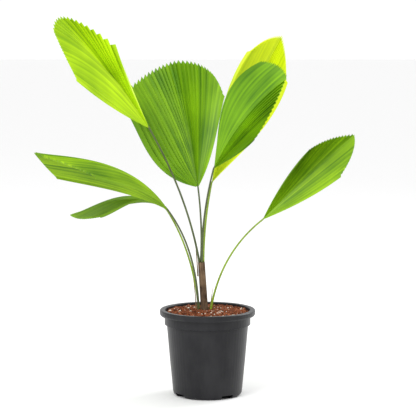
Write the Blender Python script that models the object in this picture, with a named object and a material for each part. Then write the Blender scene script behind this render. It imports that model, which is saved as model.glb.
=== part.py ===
"""A potted ruffled fan palm: seven pleated fan leaves on slender stalks, a short fibrous stem,
and a black nursery pot filled with bark mix.

Metres, +Z up, the pot's flat underside on z = 0 and its axis on the Z axis. The plant's front faces -Y.
"""
import math

import bmesh
import bpy
import numpy as np

CLEARANCE = 0.0003          # gap left wherever two pieces meet

# Pot, a turned nursery pot with a rolled lip
POT_HEIGHT = 0.1895
LIP_RADIUS = 0.105          # over the rolled lip
LIP_HEIGHT = 0.0135
LIP_ROUND = 0.003
MOUTH_RADIUS = 0.0932       # inside the lip
NECK_RADIUS = 0.0944        # plain band under the lip
NECK_FOOT_Z = 0.1555        # where the band steps in to the body
BODY_TOP_RADIUS = 0.0897
BODY_FOOT_RADIUS = 0.0762
FOOT_ROUND = 0.009          # rounded corner between wall and underside
WALL = 0.0022
POT_SIDES = 64
DRAIN_COUNT = 4
DRAIN_FIRST_DEG = -54.5     # first drain slot, turned from the front towards the right
DRAIN_WIDTH = 0.029
DRAIN_HEIGHT = 0.0085
DRAIN_DEPTH = 0.013         # how far each slot reaches in from the foot's widest circle

# Potting mix, mounded round the stem
MIX_EDGE_Z = 0.1805
MIX_MOUND = 0.0055
MIX_SIDES = 48

# Stem: centre line, radius at the soil, above the flare and at the top
STEM_FOOT = (-0.0066, 0.0, 0.0)
STEM_TOP = (-0.0135, 0.0, 0.2935)
STEM_FLARE_RADIUS = 0.0096
STEM_FLARE_HEIGHT = 0.014
STEM_FOOT_RADIUS = 0.0079
STEM_TOP_RADIUS = 0.0072
STEM_SIDES = 20
STEM_RINGS = 14
STEM_RIDGE = 0.0006         # lengthwise ridges of the old leaf sheaths

# Leaf stalks
STALK_FOOT_RADIUS = 0.0027
STALK_TIP_RADIUS = 0.0021
STALK_END_RADIUS = 0.0014   # where it meets the blade's neck
STALK_END_SHARE = 0.3        # how far it goes from the hub to the neck
STALK_SIDES = 8
STALK_RINGS = 12

# Torn sheaths of old leaves, each a tapering strip along its points, by the stem. A strip whose
# first point is at height 0 stands on the potting mix.
SHEATH_SIDES = 6
SHEATH_FOOT_RADIUS = 0.0013
SHEATH_TIP_RADIUS = 0.0005
SHEATHS = {
    "left": ((-0.0245, 0.0020, 0.0), (-0.0262, 0.0022, 0.213), (-0.0290, 0.0028, 0.240),
             (-0.0318, 0.0035, 0.261)),
    "right": ((0.0055, 0.0062, 0.0), (0.0078, 0.0060, 0.205), (0.0098, 0.0055, 0.222),
              (0.0118, 0.0050, 0.237)),
    "top": ((-0.0212, 0.0010, 0.262), (-0.0230, 0.0015, 0.293), (-0.0252, 0.0020, 0.318),
            (-0.0262, 0.0030, 0.340)),
}

# Leaf blades
SEGMENTS = 26               # pleats across a blade
BLADE_ROWS = 6
NECK_SHARE = 0.022          # share of a rib between the hub and the blade's neck
TOOTH_SHARE = 0.022         # share of a rib that a tooth stands out by
PLEAT_SLOPE = 0.36          # rise of a pleat over half its width
THICKNESS_SHARE = 0.0105    # blade thickness as a share of its longest rib

# Each leaf is lofted through five guide ribs: left edge, left fan, middle, right fan, right edge,
# left and right as seen from the front. A rib's reach is its tip measured from the hub, to the
# right, back and up. A bow is how far the middle of a rib stands off the straight line to its tip.
LEAVES = {
    "back": {
        "stalk_foot": (-0.0145, 0.0042, STEM_TOP[2]), "stalk_bow": (0.0035, 0.0, 0.0),
        "arch_at": (0.34, 0.55, 0.50),
        "hub": (-0.021, 0.045, 0.454),
        "reach": ((-0.172, -0.015, 0.197), (-0.116, 0.075, 0.247), (-0.050, 0.115, 0.275),
                  (0.019, 0.085, 0.260), (0.055, 0.015, 0.206)),
        "bow": ((-0.028, -0.018, -0.017), (0.006, 0.002, -0.003), (0.001, 0.008, 0.0),
                (0.003, 0.007, 0.001), (0.007, -0.017, 0.001)),
        "colour": (0.30, 0.55, 0.02),
    },
    "upper_left": {
        "stalk_foot": (-0.0179, -0.0012, STEM_TOP[2]), "stalk_bow": (0.0145, -0.002, 0.0),
        "arch_at": (0.50, 0.60, 0.50),
        "hub": (-0.125, -0.060, 0.592),
        "reach": ((-0.150, -0.090, 0.111), (-0.177, -0.070, 0.159), (-0.202, -0.045, 0.210),
                  (-0.170, -0.010, 0.237), (-0.066, 0.020, 0.170)),
        "bow": ((-0.005, -0.010, -0.004), (0.009, 0.008, 0.012), (0.008, 0.020, 0.020),
                (0.002, 0.008, 0.002), (-0.004, -0.010, 0.003)),
        "colour": (0.52, 0.80, 0.02),
    },
    "right_front": {
        "stalk_foot": (-0.0123, -0.0044, STEM_TOP[2]), "stalk_bow": (-0.007, -0.004, 0.0),
        "arch_at": (0.60, 0.55, 0.50),
        "hub": (0.013, -0.050, 0.504),
        "reach": ((0.100, -0.050, 0.231), (0.133, -0.100, 0.227), (0.152, -0.160, 0.206),
                  (0.123, -0.130, 0.138), (0.084, -0.070, 0.066)),
        "bow": ((-0.033, 0.005, 0.022), (-0.020, -0.010, 0.013), (-0.010, -0.020, 0.015),
                (-0.001, -0.015, 0.005), (0.001, 0.005, -0.004)),
        "colour": (0.25, 0.50, 0.02),
    },
    "right_back": {
        "stalk_foot": (-0.0091, 0.0014, STEM_TOP[2]), "stalk_bow": (-0.004, 0.004, 0.0),
        "arch_at": (0.60, 0.55, 0.50),
        "hub": (0.009, 0.075, 0.460),
        "reach": ((0.088, 0.055, 0.293), (0.125, 0.085, 0.318), (0.161, 0.115, 0.324),
                  (0.168, 0.095, 0.276), (0.167, 0.055, 0.228)),
        "bow": ((-0.020, -0.003, 0.008), (-0.010, 0.012, 0.0), (-0.003, 0.012, 0.004),
                (0.009, 0.007, 0.003), (0.018, -0.003, -0.008)),
        "colour": (0.65, 0.80, 0.02),
    },
    "lower_right": {
        "stalk_foot": (0.0068, 0.0, 0.0), "stalk_bow": (-0.018, -0.002, 0.014),
        "arch_at": (0.50, 0.55, 0.50),
        "hub": (0.120, -0.020, 0.390),
        "reach": ((0.101, 0.030, 0.150), (0.146, 0.020, 0.175), (0.198, -0.010, 0.187),
                  (0.192, -0.060, 0.153), (0.163, -0.100, 0.108)),
        "bow": ((-0.007, 0.005, 0.0), (0.002, 0.013, 0.002), (0.004, 0.016, 0.004),
                (0.006, 0.010, 0.002), (0.008, 0.0, -0.003)),
        "colour": (0.32, 0.58, 0.03),
    },
    "lower_left": {
        "stalk_foot": (-0.0197, -0.0030, 0.0), "stalk_bow": (0.015, 0.0, 0.013),
        "arch_at": (0.40, 0.44, 0.44),
        "hub": (-0.086, -0.030, 0.412),
        "reach": ((-0.150, -0.130, 0.086), (-0.213, -0.100, 0.109), (-0.289, -0.030, 0.126),
                  (-0.272, 0.050, 0.091), (-0.252, 0.090, 0.064)),
        "bow": ((0.010, -0.016, 0.013), (0.010, -0.004, 0.030), (0.022, 0.003, 0.033),
                (0.014, 0.010, 0.016), (0.006, 0.025, 0.005)),
        "colour": (0.42, 0.68, 0.02),
    },
    "under_left": {
        "stalk_foot": (-0.0185, 0.0070, 0.0), "stalk_bow": (0.011, 0.003, 0.010),
        "arch_at": (0.36, 0.40, 0.40),
        "hub": (-0.090, 0.050, 0.403),
        "reach": ((-0.149, -0.030, -0.011), (-0.193, 0.010, -0.021), (-0.220, 0.070, -0.021),
                  (-0.186, 0.110, -0.014), (-0.140, 0.130, -0.006)),
        "bow": ((0.004, -0.015, 0.032), (0.0, -0.005, 0.034), (0.0, 0.0, 0.036),
                (-0.003, 0.004, 0.026), (0.002, 0.008, 0.014)),
        "colour": (0.20, 0.38, 0.02),
    },
}


def material(name, colour, roughness, metallic=0.0):
    """A plain Principled material."""
    made = bpy.data.materials.new(name)
    made.use_nodes = True
    shader = made.node_tree.nodes["Principled BSDF"]
    shader.inputs["Base Color"].default_value = (*colour, 1.0)
    shader.inputs["Roughness"].default_value = roughness
    shader.inputs["Metallic"].default_value = metallic
    made.diffuse_color = (*colour, 1.0)
    return made


def add_object(name, mesh, finish, smooth_deg=None):
    """Links a mesh as a named object with its own material."""
    mesh.materials.append(finish)
    if smooth_deg is not None:
        mesh.shade_smooth()
        mesh.set_sharp_from_angle(angle=math.radians(smooth_deg))
    made = bpy.data.objects.new(name, mesh)
    bpy.context.scene.collection.objects.link(made)
    return made


def mesh_from(name, points, faces):
    """A mesh of the given points and faces, with every face turned outwards."""
    mesh = bpy.data.meshes.new(name)
    mesh.from_pydata([tuple(p) for p in points], [], faces)
    shell = bmesh.new()
    shell.from_mesh(mesh)
    bmesh.ops.recalc_face_normals(shell, faces=shell.faces)
    shell.to_mesh(mesh)
    shell.free()
    return mesh


def turned(name, profile, sides):
    """A solid of revolution: the profile, from axis to axis as (radius, z), carried round Z."""
    ends = (profile[0], profile[-1])
    rings = np.array([p for p in profile if p[0] > 0.0])
    angle = np.arange(sides) * 2 * math.pi / sides
    points = np.stack([
        rings[:, None, 0] * np.cos(angle),
        rings[:, None, 0] * np.sin(angle),
        np.broadcast_to(rings[:, None, 1], (len(rings), sides)),
    ], axis=-1).reshape(-1, 3)
    points = [*points, (0, 0, ends[0][1]), (0, 0, ends[1][1])]
    faces = []
    for side in range(sides):
        after = (side + 1) % sides
        for ring in range(len(rings) - 1):
            low, high = ring * sides, (ring + 1) * sides
            faces.append((low + side, low + after, high + after, high + side))
        last = (len(rings) - 1) * sides
        faces.append((side, after, len(points) - 2))
        faces.append((last + side, last + after, len(points) - 1))
    return mesh_from(name, points, faces)


def rounded(centre, radius, first_deg, last_deg, steps):
    """Points of an arc in a profile, as (radius, z)."""
    return [
        (centre[0] + radius * math.cos(math.radians(a)), centre[1] + radius * math.sin(math.radians(a)))
        for a in np.linspace(first_deg, last_deg, steps)
    ]


def body_radius(z):
    """Outer radius of the pot's tapering body at height z."""
    return BODY_FOOT_RADIUS + (BODY_TOP_RADIUS - BODY_FOOT_RADIUS) * z / NECK_FOOT_Z


def drain_cutter(turn_deg):
    """A block across the pot's foot, turned to one drain slot."""
    reach = 0.03
    cutter_mesh = bpy.data.meshes.new("drain_cutter")
    block = bmesh.new()
    bmesh.ops.create_cube(block, size=1.0)
    bmesh.ops.scale(block, vec=(DRAIN_WIDTH, reach, 2 * DRAIN_HEIGHT), verts=block.verts)
    bmesh.ops.translate(block, vec=(0, -(BODY_FOOT_RADIUS - DRAIN_DEPTH + reach / 2), 0), verts=block.verts)
    block.to_mesh(cutter_mesh)
    block.free()
    cutter = bpy.data.objects.new("drain_cutter", cutter_mesh)
    cutter.rotation_euler = (0, 0, math.radians(turn_deg))
    cutter.hide_render = True
    cutter.display_type = "WIRE"
    bpy.context.scene.collection.objects.link(cutter)
    return cutter


def make_pot():
    """The pot: outer wall up to the rolled lip, over it and down the inner wall to the floor."""
    lip_low = POT_HEIGHT - LIP_HEIGHT
    outer = [(0.0, 0.0), (BODY_FOOT_RADIUS - FOOT_ROUND, 0.0)]
    outer += rounded((BODY_FOOT_RADIUS - FOOT_ROUND, FOOT_ROUND), FOOT_ROUND, -60, 0, 4)
    outer += [(body_radius(NECK_FOOT_Z * 0.5), NECK_FOOT_Z * 0.5), (BODY_TOP_RADIUS, NECK_FOOT_Z)]
    outer += [(NECK_RADIUS, NECK_FOOT_Z + 0.0015), (NECK_RADIUS, lip_low)]
    outer += [(LIP_RADIUS - 0.0018, lip_low + 0.0008), (LIP_RADIUS, lip_low + 0.004)]
    outer += rounded((LIP_RADIUS - LIP_ROUND, POT_HEIGHT - LIP_ROUND), LIP_ROUND, 0, 90, 4)
    inner = [(MOUTH_RADIUS + 0.001, POT_HEIGHT - 0.0004), (MOUTH_RADIUS, POT_HEIGHT - 0.002)]
    inner += [(NECK_RADIUS - WALL, lip_low), (NECK_RADIUS - WALL, NECK_FOOT_Z + WALL)]
    inner += [(BODY_TOP_RADIUS - WALL, NECK_FOOT_Z), (body_radius(WALL) - WALL - 0.004, WALL + 0.004)]
    inner += [(body_radius(WALL) - WALL - 0.008, WALL), (0.0, WALL)]
    pot = add_object("pot", turned("pot", outer + inner, POT_SIDES),
                     material("black_plastic", (0.03, 0.03, 0.032), 0.32), 30)
    for index in range(DRAIN_COUNT):
        cut = pot.modifiers.new(f"drain_{index}", "BOOLEAN")
        cut.operation = "DIFFERENCE"
        cut.solver = "EXACT"
        cut.object = drain_cutter(DRAIN_FIRST_DEG + 90 * index)


def mix_height(x, y):
    """Top of the potting mix at a place: a low mound round the stem."""
    share = min(1.0, math.hypot(x, y) / MOUTH_RADIUS)
    return MIX_EDGE_Z + MIX_MOUND * (1 - share ** 2)


def make_mix():
    """The potting mix, which fills the pot to just under the lip."""
    gap = CLEARANCE
    floor_z = WALL + gap
    profile = [(0.0, floor_z), (body_radius(WALL) - WALL - 0.009, floor_z),
               (body_radius(WALL) - WALL - 0.0045, floor_z + 0.004),
               (BODY_TOP_RADIUS - WALL - 0.0008, NECK_FOOT_Z + 0.0007),
               (NECK_RADIUS - WALL - 0.0012, NECK_FOOT_Z + 0.0027)]
    edge = MOUTH_RADIUS - 0.0022
    for share in (1.0, 0.8, 0.6, 0.4, 0.2):
        profile.append((edge * share, mix_height(edge * share, 0.0)))
    profile.append((0.0, mix_height(0.0, 0.0)))
    add_object("potting_mix", turned("potting_mix", profile, MIX_SIDES),
               material("bark_mix", (0.16, 0.06, 0.03), 0.95), 40)


def tube(name, centres, radii, sides, ridge=0.0, level_foot=True):
    """A closed tube through the centres. Its foot ring lies level, the others square to the path."""
    centres = np.array(centres, float)
    along = np.gradient(centres, axis=0)
    along /= np.linalg.norm(along, axis=1)[:, None]
    if level_foot:
        along[0] = (0, 0, 1)
    across = np.cross(along, (0.0, 1.0, 0.0))
    across /= np.linalg.norm(across, axis=1)[:, None]
    upright = np.cross(across, along)
    angle = np.arange(sides) * 2 * math.pi / sides
    wave = 1 + ridge * np.where(np.arange(sides) % 2, 1.0, -1.0)
    rings = centres[:, None] + np.array(radii)[:, None, None] * wave[None, :, None] * (
        across[:, None] * np.cos(angle)[None, :, None] + upright[:, None] * np.sin(angle)[None, :, None]
    )
    points = rings.reshape(-1, 3)
    faces = []
    for ring in range(len(centres) - 1):
        for side in range(sides):
            after = (side + 1) % sides
            low, high = ring * sides, (ring + 1) * sides
            faces.append((low + side, low + after, high + after, high + side))
    faces.append(tuple(range(sides)))
    faces.append(tuple(range((len(centres) - 1) * sides, len(centres) * sides)))
    return mesh_from(name, points, faces)


def stem_centre(z):
    """Centre of the leaning stem at height z."""
    foot_z = mix_height(STEM_FOOT[0], STEM_FOOT[1])
    share = (z - foot_z) / (STEM_TOP[2] - foot_z)
    return np.array((STEM_FOOT[0] + (STEM_TOP[0] - STEM_FOOT[0]) * share, STEM_FOOT[1], z))


def make_stem():
    """The short stem: a flare at the soil, a slight lean, and lengthwise ridges."""
    foot_z = mix_height(0.0, 0.0) + CLEARANCE
    top_z = STEM_TOP[2] - CLEARANCE
    shares = np.linspace(0.0, 1.0, STEM_RINGS) ** 1.3
    heights = foot_z + (top_z - foot_z) * shares
    radii = []
    for z in heights:
        plain = STEM_FOOT_RADIUS + (STEM_TOP_RADIUS - STEM_FOOT_RADIUS) * (z - foot_z) / (top_z - foot_z)
        flare = max(0.0, 1 - (z - foot_z) / STEM_FLARE_HEIGHT) ** 2
        radii.append(plain + (STEM_FLARE_RADIUS - STEM_FOOT_RADIUS) * flare)
    centres = [stem_centre(z) for z in heights]
    mesh = tube("stem", centres, radii, STEM_SIDES, ridge=STEM_RIDGE / STEM_TOP_RADIUS)
    add_object("stem", mesh, material("fibrous_stem", (0.10, 0.065, 0.04), 0.9))


def rib_mix(share):
    """How much each of the five guide ribs gives at shares from -1, left edge, to 1, right edge."""
    side = np.abs(share)
    middle = (1 - side) * (1 - 2 * side)
    fan = 4 * side * (1 - side)
    edge = side * (2 * side - 1)
    left = share < 0
    zero = np.zeros_like(side)
    return np.stack([np.where(left, edge, zero), np.where(left, fan, zero), middle,
                     np.where(left, zero, fan), np.where(left, zero, edge)], axis=-1)


def arched(along, peak):
    """A smooth arch along a rib: nothing at both ends and 1 at the peak."""
    tight = min(peak, 1 - peak)
    return (along / peak) ** (peak / tight) * ((1 - along) / (1 - peak)) ** ((1 - peak) / tight)


def blade_surface(leaf, share, along):
    """Points of the unpleated blade: hub + reach * along + bow * arch(along)."""
    weight = rib_mix(share)
    reach = weight @ np.array(leaf["reach"])
    along = np.clip(along, 0, 1)[..., None]
    edge, fan, middle = (arched(along, peak) for peak in leaf["arch_at"])
    arch = np.concatenate([edge, fan, middle, fan, edge], axis=-1)
    return np.array(leaf["hub"]) + reach * along + (weight * arch) @ np.array(leaf["bow"])


def blade_normals(leaf, share, along):
    """Unit normals of the unpleated blade, by differences across and along the ribs."""
    step = 1e-3
    across = blade_surface(leaf, np.clip(share + step, -1, 1), along) - blade_surface(
        leaf, np.clip(share - step, -1, 1), along)
    outward = blade_surface(leaf, share, along + step) - blade_surface(leaf, share, along - step)
    normal = np.cross(across, outward)
    return normal / np.linalg.norm(normal, axis=-1)[..., None]


def make_blade(name, leaf):
    """A pleated fan blade as a thin closed solid with a toothed rim."""
    columns = 2 * SEGMENTS + 1
    column = np.arange(columns)
    crest = column % 2 == 1
    share = np.broadcast_to(np.linspace(-1, 1, columns), (BLADE_ROWS, columns))
    end = np.where(crest, 1.0, 1.0 - TOOTH_SHARE)
    row = np.linspace(0.0, 1.0, BLADE_ROWS)[:, None]
    along = NECK_SHARE + (end - NECK_SHARE) * row
    middle = blade_surface(leaf, share, along)
    normal = blade_normals(leaf, share, along)
    spacing = np.linalg.norm(np.gradient(middle, axis=1), axis=-1)[..., None]
    pleat = np.where(crest, 1.0, -1.0)[None, :, None] * spacing * PLEAT_SLOPE / 2
    longest = max(np.linalg.norm(np.array(r)) for r in leaf["reach"])
    half = THICKNESS_SHARE * longest / 2
    top = middle + normal * (pleat + half)
    bottom = middle + normal * (pleat - half)
    points = np.concatenate([top.reshape(-1, 3), bottom.reshape(-1, 3)])
    count = BLADE_ROWS * columns
    faces = []
    for i in range(BLADE_ROWS - 1):
        for j in range(columns - 1):
            a = i * columns + j
            quad = (a, a + 1, a + 1 + columns, a + columns)
            faces.append(quad)
            faces.append(tuple(count + k for k in reversed(quad)))
    rim = [(0, j) for j in range(columns)]
    rim += [(i, columns - 1) for i in range(1, BLADE_ROWS)]
    rim += [(BLADE_ROWS - 1, j) for j in range(columns - 2, -1, -1)]
    rim += [(i, 0) for i in range(BLADE_ROWS - 2, 0, -1)]
    rim = [i * columns + j for i, j in rim]
    for here, after in zip(rim, rim[1:] + rim[:1]):
        faces.append((here, after, count + after, count + here))
    mesh = mesh_from(name, points, faces)
    add_object(name, mesh, material(name + "_green", leaf["colour"], 0.5))


def make_stalk(name, leaf):
    """A leaf stalk from its foot on the stem or in the mix to just short of the blade's neck."""
    foot = np.array(leaf["stalk_foot"])
    if foot[2] == 0.0:
        foot[2] = mix_height(foot[0], foot[1])
    foot[2] += CLEARANCE
    hub = np.array(leaf["hub"])
    share = np.linspace(0.0, 1.0, STALK_RINGS)[:, None]
    centres = foot + (hub - foot) * share + np.array(leaf["stalk_bow"]) * 4 * share * (1 - share)
    radii = STALK_FOOT_RADIUS + (STALK_TIP_RADIUS - STALK_FOOT_RADIUS) * share[:, 0] ** 0.5
    neck = blade_surface(leaf, np.zeros(1), np.full(1, NECK_SHARE))[0] - hub
    centres = np.vstack([centres, hub + neck * STALK_END_SHARE])
    radii = np.append(radii, STALK_END_RADIUS)
    mesh = tube(name, centres, radii, STALK_SIDES)
    add_object(name, mesh, material(name + "_green", (0.12, 0.20, 0.05), 0.55))


def make_sheath(name, points):
    """A torn leaf sheath: a strip that tapers along its points."""
    centres = np.array(points, float)
    if centres[0, 2] == 0.0:
        centres[0, 2] = mix_height(centres[0, 0], centres[0, 1]) + CLEARANCE
    radii = np.linspace(SHEATH_FOOT_RADIUS, SHEATH_TIP_RADIUS, len(centres))
    mesh = tube(name, centres, radii, SHEATH_SIDES)
    add_object(name, mesh, material(name + "_brown", (0.24, 0.17, 0.09), 0.9))


def build():
    """Empties the scene and builds the plant in its pot."""
    for old in list(bpy.data.objects):
        bpy.data.objects.remove(old)
    make_pot()
    make_mix()
    make_stem()
    for name, points in SHEATHS.items():
        make_sheath(f"sheath_{name}", points)
    for name, leaf in LEAVES.items():
        make_stalk(f"stalk_{name}", leaf)
        make_blade(f"blade_{name}", leaf)


build()
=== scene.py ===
"""Looks of the potted ruffled fan palm: pleated leaf blades, stalks, fibrous stem, bark mix and pot."""
import math

import bmesh
import bpy
import numpy as np
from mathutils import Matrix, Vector


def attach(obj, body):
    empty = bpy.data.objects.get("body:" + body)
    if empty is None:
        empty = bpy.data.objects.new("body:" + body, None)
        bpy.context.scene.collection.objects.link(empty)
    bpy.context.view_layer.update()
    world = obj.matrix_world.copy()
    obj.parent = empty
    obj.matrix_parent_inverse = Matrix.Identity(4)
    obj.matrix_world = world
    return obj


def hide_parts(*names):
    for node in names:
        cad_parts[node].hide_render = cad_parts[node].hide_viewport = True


bl_info = {
    "name": "Ruffled Fan Palm",
    "version": (1, 0, 0),
    "blender": (4, 5, 0),
    "location": "3D View > Sidebar > Palm",
    "description": "Builds a potted fan palm with pleated leaves around its packed frame",
    "category": "Object",
}

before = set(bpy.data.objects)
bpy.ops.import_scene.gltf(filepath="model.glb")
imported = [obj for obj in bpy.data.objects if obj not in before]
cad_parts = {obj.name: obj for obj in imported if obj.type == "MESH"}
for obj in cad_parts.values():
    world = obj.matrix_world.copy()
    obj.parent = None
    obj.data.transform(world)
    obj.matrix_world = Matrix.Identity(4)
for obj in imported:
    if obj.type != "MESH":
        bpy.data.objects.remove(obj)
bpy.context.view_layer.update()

PLEATS = 32                 # folds across one blade
STEPS_PER_PLEAT = 4
BLADE_ROWS = 30
NECK_SHARE = 0.012
SHELL_HALF = 0.00045        # half the thickness of a leaf
MIX_EDGE_Z = 0.1805
MIX_MOUND = 0.0055
MOUTH_RADIUS = 0.0932
STEM_FOOT_X = -0.0066
STEM_TOP_X = -0.0135
STEM_TOP_Z = 0.2935
STALK_FOOT_RADIUS = 0.0027
STALK_TIP_RADIUS = 0.0018
STALK_END_RADIUS = 0.0009   # where the stalk runs into the blade
STALK_END_SHARE = 0.03      # how far along the middle rib that is
STALK_ROWS = 48
STALK_SIDES = 14
STALK_SHADE = 0.55          # the dark stalk colour as a share of the light one
STEM_FOOT_RADIUS = 0.0079
STEM_TAPER = 0.0007
STEM_FLARE = 0.0017
STEM_FLARE_HEIGHT = 0.014
STEM_ROWS = 90
STEM_SIDES = 72
STEM_RIDGE_COUNTS = (7, 13, 23, 31)
SHEATH_FOOT_RADIUS = 0.0015
SHEATH_TAPER = 0.0011
SHEATH_ROWS = 24
SHEATH_SIDES = 10
MIX_RADIUS = MOUTH_RADIUS - 0.0022
MIX_UNDERSIDE_Z = 0.165
MIX_RINGS = 20
MIX_SIDES = 96
CHIP_SIZE = 0.011
CHIP_FLATNESS = 0.35
PERLITE_SIZE = 0.005
PERLITE_FLATNESS = 0.8
SCATTER_RADIUS = 0.087
SCATTER_LIFT = 0.0025       # how high above the mound a chip may lie
FLOOR_HALF = 20
CAMERA_PLACE = (0.001, -4.2, 0.892)
CAMERA_TARGET = (0.001, 0.0, 0.413)
CAMERA_LENS = 167.4
SPECULAR = 0.25

# The design values of each leaf: hub, the reach and bow of five guide ribs from left to right, where
# the bow of the edge, fan and middle ribs peaks, the stalk's foot and bow, and two leaf colours: a lit and a
# shaded pleat colour, each pair made lighter or darker per leaf by how light falls on it, which is painted
# light and shade.
LEAVES = {
    "back": {
        "foot": (-0.0145, 0.0042, STEM_TOP_Z), "stalk_bow": (0.0035, 0.0, 0.0), "arch_at": (0.34, 0.55, 0.50),
        "hub": (-0.021, 0.045, 0.454),
        "reach": ((-0.172, -0.015, 0.197), (-0.116, 0.075, 0.247), (-0.050, 0.115, 0.275),
                  (0.019, 0.085, 0.260), (0.055, 0.015, 0.206)),
        "bow": ((-0.028, -0.018, -0.017), (0.006, 0.002, -0.003), (0.001, 0.008, 0.0),
                (0.003, 0.007, 0.001), (0.007, -0.017, 0.001)),
        "colours": ((0.25, 0.48, 0.005), (0.07, 0.20, 0.003)), "stalk": (0.10, 0.13, 0.05),
    },
    "upper_left": {
        "foot": (-0.0179, -0.0012, STEM_TOP_Z), "stalk_bow": (0.0145, -0.002, 0.0),
        "arch_at": (0.50, 0.60, 0.50),
        "hub": (-0.125, -0.060, 0.592),
        "reach": ((-0.150, -0.090, 0.111), (-0.177, -0.070, 0.159), (-0.202, -0.045, 0.210),
                  (-0.170, -0.010, 0.237), (-0.066, 0.020, 0.170)),
        "bow": ((-0.005, -0.010, -0.004), (0.009, 0.008, 0.012), (0.008, 0.020, 0.020),
                (0.002, 0.008, 0.002), (-0.004, -0.010, 0.003)),
        "colours": ((0.56, 0.80, 0.008), (0.24, 0.44, 0.004)), "stalk": (0.10, 0.13, 0.05),
    },
    "right_front": {
        "foot": (-0.0123, -0.0044, STEM_TOP_Z), "stalk_bow": (-0.007, -0.004, 0.0),
        "arch_at": (0.60, 0.55, 0.50),
        "hub": (0.013, -0.050, 0.504),
        "reach": ((0.100, -0.050, 0.231), (0.133, -0.100, 0.227), (0.152, -0.160, 0.206),
                  (0.123, -0.130, 0.138), (0.084, -0.070, 0.066)),
        "bow": ((-0.033, 0.005, 0.022), (-0.020, -0.010, 0.013), (-0.010, -0.020, 0.015),
                (-0.001, -0.015, 0.005), (0.001, 0.005, -0.004)),
        # Darker pair: painted shade over this leaf.
        "colours": ((0.22, 0.46, 0.004), (0.06, 0.19, 0.003)), "stalk": (0.10, 0.13, 0.05),
    },
    "right_back": {
        "foot": (-0.0091, 0.0014, STEM_TOP_Z), "stalk_bow": (-0.004, 0.004, 0.0),
        "arch_at": (0.60, 0.55, 0.50),
        "hub": (0.009, 0.075, 0.460),
        "reach": ((0.088, 0.055, 0.293), (0.125, 0.085, 0.318), (0.161, 0.115, 0.324),
                  (0.168, 0.095, 0.276), (0.167, 0.055, 0.228)),
        "bow": ((-0.020, -0.003, 0.008), (-0.010, 0.012, 0.0), (-0.003, 0.012, 0.004),
                (0.009, 0.007, 0.003), (0.018, -0.003, -0.008)),
        # Much paler pair: painted light on this leaf.
        "colours": ((0.72, 0.84, 0.01), (0.48, 0.62, 0.008)), "stalk": (0.28, 0.42, 0.03),
    },
    "lower_right": {
        "foot": (0.0068, 0.0, 0.0), "stalk_bow": (-0.018, -0.002, 0.014), "arch_at": (0.50, 0.55, 0.50),
        "hub": (0.120, -0.020, 0.390),
        "reach": ((0.101, 0.030, 0.150), (0.146, 0.020, 0.175), (0.198, -0.010, 0.187),
                  (0.192, -0.060, 0.153), (0.163, -0.100, 0.108)),
        "bow": ((-0.007, 0.005, 0.0), (0.002, 0.013, 0.002), (0.004, 0.016, 0.004),
                (0.006, 0.010, 0.002), (0.008, 0.0, -0.003)),
        "colours": ((0.30, 0.52, 0.008), (0.08, 0.22, 0.004)), "stalk": (0.28, 0.42, 0.03),
    },
    "lower_left": {
        "foot": (-0.0197, -0.0030, 0.0), "stalk_bow": (0.015, 0.0, 0.013), "arch_at": (0.40, 0.44, 0.44),
        "hub": (-0.086, -0.030, 0.412),
        "reach": ((-0.150, -0.130, 0.086), (-0.213, -0.100, 0.109), (-0.289, -0.030, 0.126),
                  (-0.272, 0.050, 0.091), (-0.252, 0.090, 0.064)),
        "bow": ((0.010, -0.016, 0.013), (0.010, -0.004, 0.030), (0.022, 0.003, 0.033),
                (0.014, 0.010, 0.016), (0.006, 0.025, 0.005)),
        "colours": ((0.34, 0.56, 0.006), (0.09, 0.22, 0.003)), "stalk": (0.10, 0.13, 0.05),
    },
    "under_left": {
        "foot": (-0.0185, 0.0070, 0.0), "stalk_bow": (0.011, 0.003, 0.010), "arch_at": (0.36, 0.40, 0.40),
        "hub": (-0.090, 0.050, 0.403),
        "reach": ((-0.149, -0.030, -0.011), (-0.193, 0.010, -0.021), (-0.220, 0.070, -0.021),
                  (-0.186, 0.110, -0.014), (-0.140, 0.130, -0.006)),
        "bow": ((0.004, -0.015, 0.032), (0.0, -0.005, 0.034), (0.0, 0.0, 0.036),
                (-0.003, 0.004, 0.026), (0.002, 0.008, 0.014)),
        "colours": ((0.22, 0.40, 0.01), (0.10, 0.22, 0.006)), "stalk": (0.28, 0.42, 0.03),
    },
}
SHEATHS = {
    "left": ((-0.0245, 0.0020, 0.0), (-0.0262, 0.0022, 0.213), (-0.0290, 0.0028, 0.240),
             (-0.0318, 0.0035, 0.261)),
    "right": ((0.0055, 0.0062, 0.0), (0.0078, 0.0060, 0.205), (0.0098, 0.0055, 0.222),
              (0.0118, 0.0050, 0.237)),
    "top": ((-0.0212, 0.0010, 0.262), (-0.0230, 0.0015, 0.293), (-0.0252, 0.0020, 0.318),
            (-0.0262, 0.0030, 0.340)),
}


def mix_height(x, y):
    """Top of the mix: the edge height plus a mound that falls with the square of the radius."""
    share = np.minimum(1.0, np.hypot(x, y) / MOUTH_RADIUS)
    return MIX_EDGE_Z + MIX_MOUND * (1 - share ** 2)


def grid_faces(rows, columns, wrap=False):
    """Quads of a grid of rows by columns points; with wrap, the last column joins the first."""
    row = np.arange(rows - 1)[:, None]
    column = np.arange(columns if wrap else columns - 1)[None, :]
    after = (column + 1) % columns
    quads = np.stack(np.broadcast_arrays(row * columns + column, row * columns + after,
                                         (row + 1) * columns + after, (row + 1) * columns + column), axis=-1)
    return quads.reshape(-1, 4).tolist()


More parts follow.
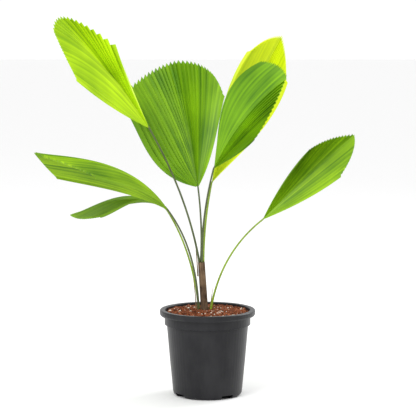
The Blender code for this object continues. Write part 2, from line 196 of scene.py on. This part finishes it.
def add_piece(name, points, faces, finish, nodes=(), uv=None, smooth=True):
    """Puts a surface into a mesh object that rides on the root body, with faces turned outwards."""
    mesh = bpy.data.meshes.new(name)
    mesh.from_pydata(np.asarray(points).tolist(), [], faces)
    shell = bmesh.new()
    shell.from_mesh(mesh)
    bmesh.ops.recalc_face_normals(shell, faces=shell.faces)
    shell.to_mesh(mesh)
    shell.free()
    if uv is not None:
        corner = np.empty(len(mesh.loops), dtype=np.int32)
        mesh.loops.foreach_get("vertex_index", corner)
        layer = mesh.uv_layers.new(name="ribs")
        layer.data.foreach_set("uv", np.asarray(uv, dtype=np.float32)[corner].ravel())
    if smooth:
        mesh.shade_smooth()
    mesh.materials.append(finish)
    piece = bpy.data.objects.new(name, mesh)
    bpy.context.scene.collection.objects.link(piece)
    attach(piece, "root")
    if nodes:
        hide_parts(*nodes)
    return piece


def fibre_and_pleat_shade_group():
    """Shader group: streaks and blotches mix two colours, and the streaks give a height; on stem, stalks,
    sheaths, mix and pot the streaks are grain, on the leaves they are painted shade of the pleats.
    """
    group = bpy.data.node_groups.get("fibre_and_pleat_shade_streaks")
    if group:
        return group
    group = bpy.data.node_groups.new("fibre_and_pleat_shade_streaks", "ShaderNodeTree")
    for name, kind in (("Vector", "NodeSocketVector"),
                       ("Light", "NodeSocketColor"), ("Dark", "NodeSocketColor"),
                       ("Streak Scale", "NodeSocketFloat"), ("Blotch Scale", "NodeSocketFloat")):
        group.interface.new_socket(name, in_out="INPUT", socket_type=kind)
    group.interface.new_socket("Color", in_out="OUTPUT", socket_type="NodeSocketColor")
    group.interface.new_socket("Height", in_out="OUTPUT", socket_type="NodeSocketFloat")
    nodes, links = group.nodes, group.links
    given, out = nodes.new("NodeGroupInput"), nodes.new("NodeGroupOutput")
    place = nodes.new("ShaderNodeTexCoord")
    streak, blotch = nodes.new("ShaderNodeTexNoise"), nodes.new("ShaderNodeTexNoise")
    links.new(given.outputs["Vector"], streak.inputs["Vector"])
    links.new(given.outputs["Streak Scale"], streak.inputs["Scale"])
    links.new(place.outputs["Object"], blotch.inputs["Vector"])
    links.new(given.outputs["Blotch Scale"], blotch.inputs["Scale"])
    both = nodes.new("ShaderNodeMath")
    both.operation = "MULTIPLY_ADD"
    both.inputs[1].default_value = 0.6
    links.new(streak.outputs["Fac"], both.inputs[0])
    half = nodes.new("ShaderNodeMath")
    half.operation = "MULTIPLY"
    half.inputs[1].default_value = 0.4
    links.new(blotch.outputs["Fac"], half.inputs[0])
    links.new(half.outputs[0], both.inputs[2])
    spread = nodes.new("ShaderNodeMapRange")
    spread.inputs["From Min"].default_value = 0.36
    spread.inputs["From Max"].default_value = 0.62
    links.new(both.outputs[0], spread.inputs["Value"])
    mix = nodes.new("ShaderNodeMix")
    mix.data_type = "RGBA"
    links.new(spread.outputs["Result"], mix.inputs[0])
    links.new(given.outputs["Dark"], mix.inputs[6])
    links.new(given.outputs["Light"], mix.inputs[7])
    links.new(mix.outputs[2], out.inputs["Color"])
    links.new(streak.outputs["Fac"], out.inputs["Height"])
    return group


def fibre_and_pleat_shade_material(name, light, dark, stretch, streaks, blotches, roughness, bump, from_uv=False):
    """A Principled material whose colour and bump come from the streak group, stretched along the piece; on
    the leaves its colour streaks are painted pleat shade.
    """
    made = bpy.data.materials.new(name)
    made.use_nodes = True
    nodes, links = made.node_tree.nodes, made.node_tree.links
    shader = nodes["Principled BSDF"]
    shader.inputs["Roughness"].default_value = roughness
    shader.inputs["Specular IOR Level"].default_value = SPECULAR
    place, turn = nodes.new("ShaderNodeTexCoord"), nodes.new("ShaderNodeMapping")
    turn.inputs["Scale"].default_value = stretch
    links.new(place.outputs["UV" if from_uv else "Object"], turn.inputs["Vector"])
    streak_node = nodes.new("ShaderNodeGroup")
    streak_node.node_tree = fibre_and_pleat_shade_group()
    streak_node.inputs["Light"].default_value = (*light, 1)
    streak_node.inputs["Dark"].default_value = (*dark, 1)
    streak_node.inputs["Streak Scale"].default_value = streaks
    streak_node.inputs["Blotch Scale"].default_value = blotches
    links.new(turn.outputs["Vector"], streak_node.inputs["Vector"])
    links.new(streak_node.outputs["Color"], shader.inputs["Base Color"])
    raised = nodes.new("ShaderNodeBump")
    raised.inputs["Strength"].default_value = bump
    raised.inputs["Distance"].default_value = 0.001
    links.new(streak_node.outputs["Height"], raised.inputs["Height"])
    links.new(raised.outputs["Normal"], shader.inputs["Normal"])
    return made


def rib_mix(share):
    """Weights of the five guide ribs: quadratics through edge, fan and middle on either side."""
    side = np.abs(share)
    middle = (1 - side) * (1 - 2 * side)
    fan = 4 * side * (1 - side)
    edge = side * (2 * side - 1)
    left = share < 0
    zero = np.zeros_like(side)
    return np.stack([np.where(left, edge, zero), np.where(left, fan, zero), middle,
                     np.where(left, zero, fan), np.where(left, zero, edge)], axis=-1)


def arched(along, peak):
    """An arch that is nothing at both ends of a rib and 1 at its peak."""
    tight = min(peak, 1 - peak)
    return (along / peak) ** (peak / tight) * ((1 - along) / (1 - peak)) ** ((1 - peak) / tight)


def blade_surface(leaf, share, along):
    """Unpleated blade: hub + reach * along + bow * arch(along)."""
    weight = rib_mix(share)
    along = np.clip(along, 0, 1)[..., None]
    edge, fan, middle = (arched(along, peak) for peak in leaf["arch_at"])
    arch = np.concatenate([edge, fan, middle, fan, edge], axis=-1)
    straight = weight @ np.array(leaf["reach"]) * along
    return np.array(leaf["hub"]) + straight + (weight * arch) @ np.array(leaf["bow"])


def make_blade(name, leaf, slope, tooth):
    """The blade surface plus a fold height along its normal, made a closed shell of two skins and a rim."""
    columns = PLEATS * STEPS_PER_PLEAT + 1
    pleat_place = np.linspace(0, PLEATS, columns)
    fold = 1 - 4 * np.abs(pleat_place % 1 - 0.5)
    share = np.broadcast_to(np.linspace(-1, 1, columns), (BLADE_ROWS, columns))
    row = np.linspace(0, 1, BLADE_ROWS)[:, None]
    end = 1 - tooth * (1 - fold) / 2
    along = NECK_SHARE + (end - NECK_SHARE) * row
    middle = blade_surface(leaf, share, along)
    step = 1e-3
    across = (blade_surface(leaf, np.clip(share + step, -1, 1), along)
              - blade_surface(leaf, np.clip(share - step, -1, 1), along))
    outward = blade_surface(leaf, share, along + step) - blade_surface(leaf, share, along - step)
    normal = np.cross(across, outward)
    normal /= np.linalg.norm(normal, axis=-1)[..., None]
    width = np.linalg.norm(np.gradient(middle, axis=1), axis=-1)[..., None] * STEPS_PER_PLEAT
    raised = middle + normal * fold[None, :, None] * width * slope / 4
    points = np.concatenate([(raised + normal * SHELL_HALF).reshape(-1, 3),
                             (raised - normal * SHELL_HALF).reshape(-1, 3)])
    count = BLADE_ROWS * columns
    faces = grid_faces(BLADE_ROWS, columns)
    faces += [[count + k for k in reversed(quad)] for quad in faces]
    rim = list(range(columns))
    rim += [i * columns + columns - 1 for i in range(1, BLADE_ROWS)]
    rim += [(BLADE_ROWS - 1) * columns + j for j in range(columns - 2, -1, -1)]
    rim += [i * columns for i in range(BLADE_ROWS - 2, 0, -1)]
    faces += [[a, b, count + b, count + a] for a, b in zip(rim, rim[1:] + rim[:1])]
    uv = np.stack([np.broadcast_to(pleat_place, along.shape), along], axis=-1).reshape(-1, 2)
    # The leaf stripes run along the ribs, about one band per pleat: painted shade of the folds, lit and
    # shaded pleat sides as light and dark colour.
    finish = fibre_and_pleat_shade_material("leaf_" + name, *leaf["colours"],
                            (0.9, 0.7, 1.0), 1.0, 9.0, 0.45, 0.5, from_uv=True)
    add_piece("leaf_" + name, points, faces, finish, (f"blade_{name}",),
              np.concatenate([uv, uv]), smooth=False)


def tube(centres, radii):
    """A closed tube: each ring is its centre plus radius times the turning of two cross directions."""
    along = np.gradient(centres, axis=0)
    along /= np.linalg.norm(along, axis=1)[:, None]
    across = np.cross(along, (0.0, 1.0, 0.0))
    across /= np.linalg.norm(across, axis=1)[:, None]
    upright = np.cross(across, along)
    sides = radii.shape[1]
    angle = np.arange(sides) * 2 * math.pi / sides
    ring = across[:, None] * np.cos(angle)[None, :, None] + upright[:, None] * np.sin(angle)[None, :, None]
    points = (centres[:, None] + radii[..., None] * ring).reshape(-1, 3)
    rows = len(centres)
    faces = grid_faces(rows, sides, wrap=True)
    faces.append(list(range(sides)))
    faces.append(list(range((rows - 1) * sides, rows * sides)))
    return points, faces


def make_stalk(name, leaf):
    """A stalk: the straight line from foot to hub plus a parabola times its bow, tapering as a root."""
    foot = np.array(leaf["foot"])
    if foot[2] == 0.0:
        foot[2] = mix_height(foot[0], foot[1])
    hub = np.array(leaf["hub"])
    share = np.linspace(0, 1, STALK_ROWS)[:, None]
    centres = foot + (hub - foot) * share + np.array(leaf["stalk_bow"]) * 4 * share * (1 - share)
    neck = blade_surface(leaf, np.zeros(1), np.full(1, STALK_END_SHARE))
    centres = np.vstack([centres, neck])
    radius = STALK_FOOT_RADIUS + (STALK_TIP_RADIUS - STALK_FOOT_RADIUS) * share[:, 0] ** 0.5
    radius = np.append(radius, STALK_END_RADIUS)
    points, faces = tube(centres, np.repeat(radius[:, None], STALK_SIDES, axis=1))
    dark = tuple(STALK_SHADE * c for c in leaf["stalk"])
    finish = fibre_and_pleat_shade_material("stalk_" + name, leaf["stalk"], dark, (900, 900, 40), 1.0, 20.0, 0.5, 0.2)
    add_piece("leaf_stalk_" + name, points, faces, finish, (f"stalk_{name}",))


def make_stem(relief, seed):
    """The stem: a leaning line with a flared foot, its radius raised by ridges that wander up it."""
    rng = np.random.default_rng(seed)
    foot_z = float(mix_height(0.0, 0.0))
    z = np.linspace(foot_z, STEM_TOP_Z, STEM_ROWS)
    share = (z - foot_z) / (STEM_TOP_Z - foot_z)
    centres = np.stack([STEM_FOOT_X + (STEM_TOP_X - STEM_FOOT_X) * share, np.zeros_like(z), z], axis=-1)
    angle = np.arange(STEM_SIDES) * 2 * math.pi / STEM_SIDES
    ridges = np.zeros((STEM_ROWS, STEM_SIDES))
    for count in STEM_RIDGE_COUNTS:
        start, drift = rng.uniform(0, 2 * math.pi), rng.uniform(-2.5, 2.5)
        ridges += np.sin(count * angle[None, :] + start + drift * share[:, None]) / len(STEM_RIDGE_COUNTS)
    flare = np.clip(1 - (z - foot_z) / STEM_FLARE_HEIGHT, 0, 1) ** 2
    radii = (STEM_FOOT_RADIUS - STEM_TAPER * share + STEM_FLARE * flare)[:, None] + relief * ridges
    points, faces = tube(centres, radii)
    finish = fibre_and_pleat_shade_material("stem_fibre", (0.20, 0.13, 0.075), (0.035, 0.02, 0.012),
                            (500, 500, 30), 1.0, 60.0, 0.9, 0.9)
    add_piece("fibrous_stem", points, faces, finish, ("stem",))


def make_sheaths():
    """Torn sheaths: a path of straight runs through each strip's points, its radius falling to a thin tip."""
    finish = fibre_and_pleat_shade_material("sheath_fibre", (0.42, 0.30, 0.16), (0.10, 0.06, 0.03),
                            (700, 700, 50), 1.0, 60.0, 0.9, 0.8)
    for name, given in SHEATHS.items():
        path = np.array(given, float)
        if path[0, 2] == 0.0:
            path[0, 2] = mix_height(path[0, 0], path[0, 1])
        knots = np.linspace(0, 1, len(path))
        share = np.linspace(0, 1, SHEATH_ROWS)
        centres = np.stack([np.interp(share, knots, path[:, axis]) for axis in range(3)], axis=-1)
        angle = np.arange(SHEATH_SIDES) * 2 * math.pi / SHEATH_SIDES
        torn = 1 + 0.25 * np.sin(3 * angle)[None, :] * np.sin(14 * share)[:, None]
        points, faces = tube(centres, (SHEATH_FOOT_RADIUS - SHEATH_TAPER * share)[:, None] * torn)
        add_piece("old_sheath_" + name, points, faces, finish, (f"sheath_{name}",))


def scatter(name, count, size, flat, finish, seed):
    """Chips: eight jittered corners each, turned at random and laid over the mound."""
    rng = np.random.default_rng(seed)
    corner = np.array([(x, y, z) for x in (-1, 1) for y in (-1, 1) for z in (-1, 1)], float)
    shape = corner[None] * (1 + rng.uniform(-0.35, 0.35, (count, 8, 3)))
    shape *= rng.uniform(0.5, 1.0, (count, 1, 3)) * size / 2 * np.array((1.0, 0.7, flat))
    turn, tip = rng.uniform(0, 2 * math.pi, (2, count))
    tip = np.sin(tip) * 0.5
    c, s = np.cos(turn)[:, None], np.sin(turn)[:, None]
    x, y, z = (shape[..., axis] for axis in range(3))
    level, steep = np.cos(tip)[:, None], np.sin(tip)[:, None]
    x, z = x * level - z * steep, x * steep + z * level
    x, y = x * c - y * s, x * s + y * c
    radius = SCATTER_RADIUS * np.sqrt(rng.uniform(0, 1, count))
    around = rng.uniform(0, 2 * math.pi, count)
    px, py = radius * np.cos(around), radius * np.sin(around)
    pz = mix_height(px, py) + rng.uniform(0.0, SCATTER_LIFT, count)
    points = np.stack([x + px[:, None], y + py[:, None], z + pz[:, None]], axis=-1).reshape(-1, 3)
    sides = np.array([(0, 1, 3, 2), (4, 6, 7, 5), (0, 4, 5, 1), (2, 3, 7, 6), (0, 2, 6, 4), (1, 5, 7, 3)])
    faces = (sides[None] + 8 * np.arange(count)[:, None, None]).reshape(-1, 4).tolist()
    return add_piece(name, points, faces, finish, smooth=False)


def make_mix(chips, perlite):
    """The mix: a closed mound whose top ripples, under scattered bark chips and perlite."""
    radius = np.linspace(0.002, MIX_RADIUS, MIX_RINGS)
    angle = np.arange(MIX_SIDES) * 2 * math.pi / MIX_SIDES
    x = radius[:, None] * np.cos(angle)
    y = radius[:, None] * np.sin(angle)
    z = mix_height(x, y) + 0.0006 * np.sin(420 * x) * np.sin(390 * y)
    top = np.stack([x, y, z], axis=-1)
    low = top[-1:].copy()
    low[..., 2] = MIX_UNDERSIDE_Z
    points = np.concatenate([top, low]).reshape(-1, 3)
    faces = grid_faces(MIX_RINGS + 1, MIX_SIDES, wrap=True)
    faces.append(list(range(MIX_SIDES)))
    faces.append(list(range(MIX_RINGS * MIX_SIDES, (MIX_RINGS + 1) * MIX_SIDES)))
    bark = fibre_and_pleat_shade_material("bark_chip", (0.30, 0.085, 0.03), (0.035, 0.012, 0.006),
                          (260, 260, 260), 1.0, 220.0, 0.95, 0.9)
    white = fibre_and_pleat_shade_material("perlite", (0.85, 0.80, 0.70), (0.55, 0.46, 0.34),
                           (400, 400, 400), 1.0, 300.0, 0.9, 0.6)
    add_piece("mix_mound", points, faces, bark, ("potting_mix",))
    scatter("bark_chips", chips, CHIP_SIZE, CHIP_FLATNESS, bark, 11)
    scatter("perlite_grains", perlite, PERLITE_SIZE, PERLITE_FLATNESS, white, 12)


def finish_pot():
    """The pot keeps its own solid, with a satin black plastic that is faintly uneven."""
    finish = fibre_and_pleat_shade_material("black_pot", (0.017, 0.017, 0.019), (0.009, 0.009, 0.011),
                            (40, 40, 12), 1.0, 25.0, 0.36, 0.05)
    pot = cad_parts["pot"]
    pot.data.materials.clear()
    pot.data.materials.append(finish)


def make_stage(light):
    """A white floor, soft lights, a white world and the camera at the photograph's view."""
    mesh = bpy.data.meshes.new("floor")
    corners = [(x * FLOOR_HALF, y * FLOOR_HALF, 0) for x, y in ((-1, -1), (1, -1), (1, 1), (-1, 1))]
    mesh.from_pydata(corners, [], [(0, 1, 2, 3)])
    white = bpy.data.materials.new("floor_white")
    white.use_nodes = True
    white.node_tree.nodes["Principled BSDF"].inputs["Base Color"].default_value = (0.9, 0.9, 0.9, 1)
    white.node_tree.nodes["Principled BSDF"].inputs["Roughness"].default_value = 0.8
    mesh.materials.append(white)
    floor = bpy.data.objects.new("floor", mesh)
    bpy.context.scene.collection.objects.link(floor)
    bpy.context.scene.view_settings.view_transform = "Standard"
    world = bpy.data.worlds.new("studio")
    world.use_nodes = True
    world.node_tree.nodes["Background"].inputs["Color"].default_value = (1, 1, 1, 1)
    world.node_tree.nodes["Background"].inputs["Strength"].default_value = 1.05
    bpy.context.scene.world = world
    lamps = (("key", (-1.6, -2.2, 2.6), 1.0, 1.6), ("rim", (1.8, 1.4, 2.0), 0.6, 1.2))
    for name, place, power, size in lamps:
        lamp = bpy.data.lights.new(name, "AREA")
        lamp.energy = light * power
        lamp.size = size
        holder = bpy.data.objects.new(name, lamp)
        holder.location = place
        aim(holder, (0.0, 0.0, 0.4))
        bpy.context.scene.collection.objects.link(holder)
    camera = bpy.data.objects.new("camera", bpy.data.cameras.new("camera"))
    camera.data.lens = CAMERA_LENS
    camera.data.sensor_width = 36.0
    camera.location = CAMERA_PLACE
    aim(camera, CAMERA_TARGET)
    bpy.context.scene.collection.objects.link(camera)
    bpy.context.scene.camera = camera


def aim(thing, target):
    """Turns a camera or a light so that it looks at the target."""
    direction = Vector(target) - Vector(thing.location)
    thing.rotation_euler = direction.to_track_quat("-Z", "Y").to_euler()


class PalmSettings(bpy.types.PropertyGroup):
    """Sizes and amounts that a user would change."""
    pleat_slope: bpy.props.FloatProperty(name="Pleat slope", description="Rise of a fold over its half width",
                                         default=0.95, min=0.1, max=1.5)
    tooth_share: bpy.props.FloatProperty(name="Tooth length",
                                         description="Share of a rib that a tooth stands out",
                                         default=0.024, min=0.0, max=0.1)
    stem_relief: bpy.props.FloatProperty(name="Stem relief", description="Height of the fibres on the stem",
                                         default=0.0009, unit="LENGTH")
    bark_chips: bpy.props.IntProperty(name="Bark chips", description="Number of chips on the mix",
                                      default=900)
    perlite: bpy.props.IntProperty(name="Perlite", description="Number of perlite grains", default=230)
    light: bpy.props.FloatProperty(name="Light", description="Power of the key light", default=55.0,
                                   subtype="POWER")


class PALM_OT_leaves(bpy.types.Operator):
    """Adds the seven pleated leaf blades"""
    bl_idname = "palm.leaves"
    bl_label = "Leaf blades"

    def execute(self, context):
        settings = context.scene.palm
        for name, leaf in LEAVES.items():
            make_blade(name, leaf, settings.pleat_slope, settings.tooth_share)
        return {"FINISHED"}


class PALM_OT_stalks(bpy.types.Operator):
    """Adds the seven leaf stalks"""
    bl_idname = "palm.stalks"
    bl_label = "Leaf stalks"

    def execute(self, context):
        for name, leaf in LEAVES.items():
            make_stalk(name, leaf)
        return {"FINISHED"}


class PALM_OT_stem(bpy.types.Operator):
    """Adds the fibrous stem and the torn sheaths beside it"""
    bl_idname = "palm.stem"
    bl_label = "Stem and sheaths"

    def execute(self, context):
        make_stem(context.scene.palm.stem_relief, 5)
        make_sheaths()
        return {"FINISHED"}


class PALM_OT_pot(bpy.types.Operator):
    """Finishes the pot and fills it with bark chips and perlite"""
    bl_idname = "palm.pot"
    bl_label = "Pot and mix"

    def execute(self, context):
        finish_pot()
        make_mix(context.scene.palm.bark_chips, context.scene.palm.perlite)
        return {"FINISHED"}


class PALM_OT_stage(bpy.types.Operator):
    """Adds the floor, the lights and the camera"""
    bl_idname = "palm.stage"
    bl_label = "Stage"

    def execute(self, context):
        make_stage(context.scene.palm.light)
        return {"FINISHED"}


class PALM_PT_panel(bpy.types.Panel):
    """Lists the palm's pieces and settings"""
    bl_label = "Palm"
    bl_idname = "PALM_PT_panel"
    bl_space_type = "VIEW_3D"
    bl_region_type = "UI"
    bl_category = "Palm"

    def draw(self, context):
        for name in ("pleat_slope", "tooth_share", "stem_relief", "bark_chips", "perlite", "light"):
            self.layout.prop(context.scene.palm, name)
        for name in ("leaves", "stalks", "stem", "pot", "stage"):
            self.layout.operator("palm." + name)


CLASSES = (PalmSettings, PALM_OT_leaves, PALM_OT_stalks, PALM_OT_stem, PALM_OT_pot, PALM_OT_stage,
           PALM_PT_panel)


def register():
    """Registers the classes and hangs the settings on the scene."""
    for item in CLASSES:
        bpy.utils.register_class(item)
    bpy.types.Scene.palm = bpy.props.PointerProperty(type=PalmSettings)


def unregister():
    """Takes the settings and the classes away again."""
    del bpy.types.Scene.palm
    for item in reversed(CLASSES):
        bpy.utils.unregister_class(item)


def main():
    """Builds every piece and the stage."""
    register()
    bpy.ops.palm.leaves()
    bpy.ops.palm.stalks()
    bpy.ops.palm.stem()
    bpy.ops.palm.pot()
    bpy.ops.palm.stage()


if __name__ == "__main__":
    main()
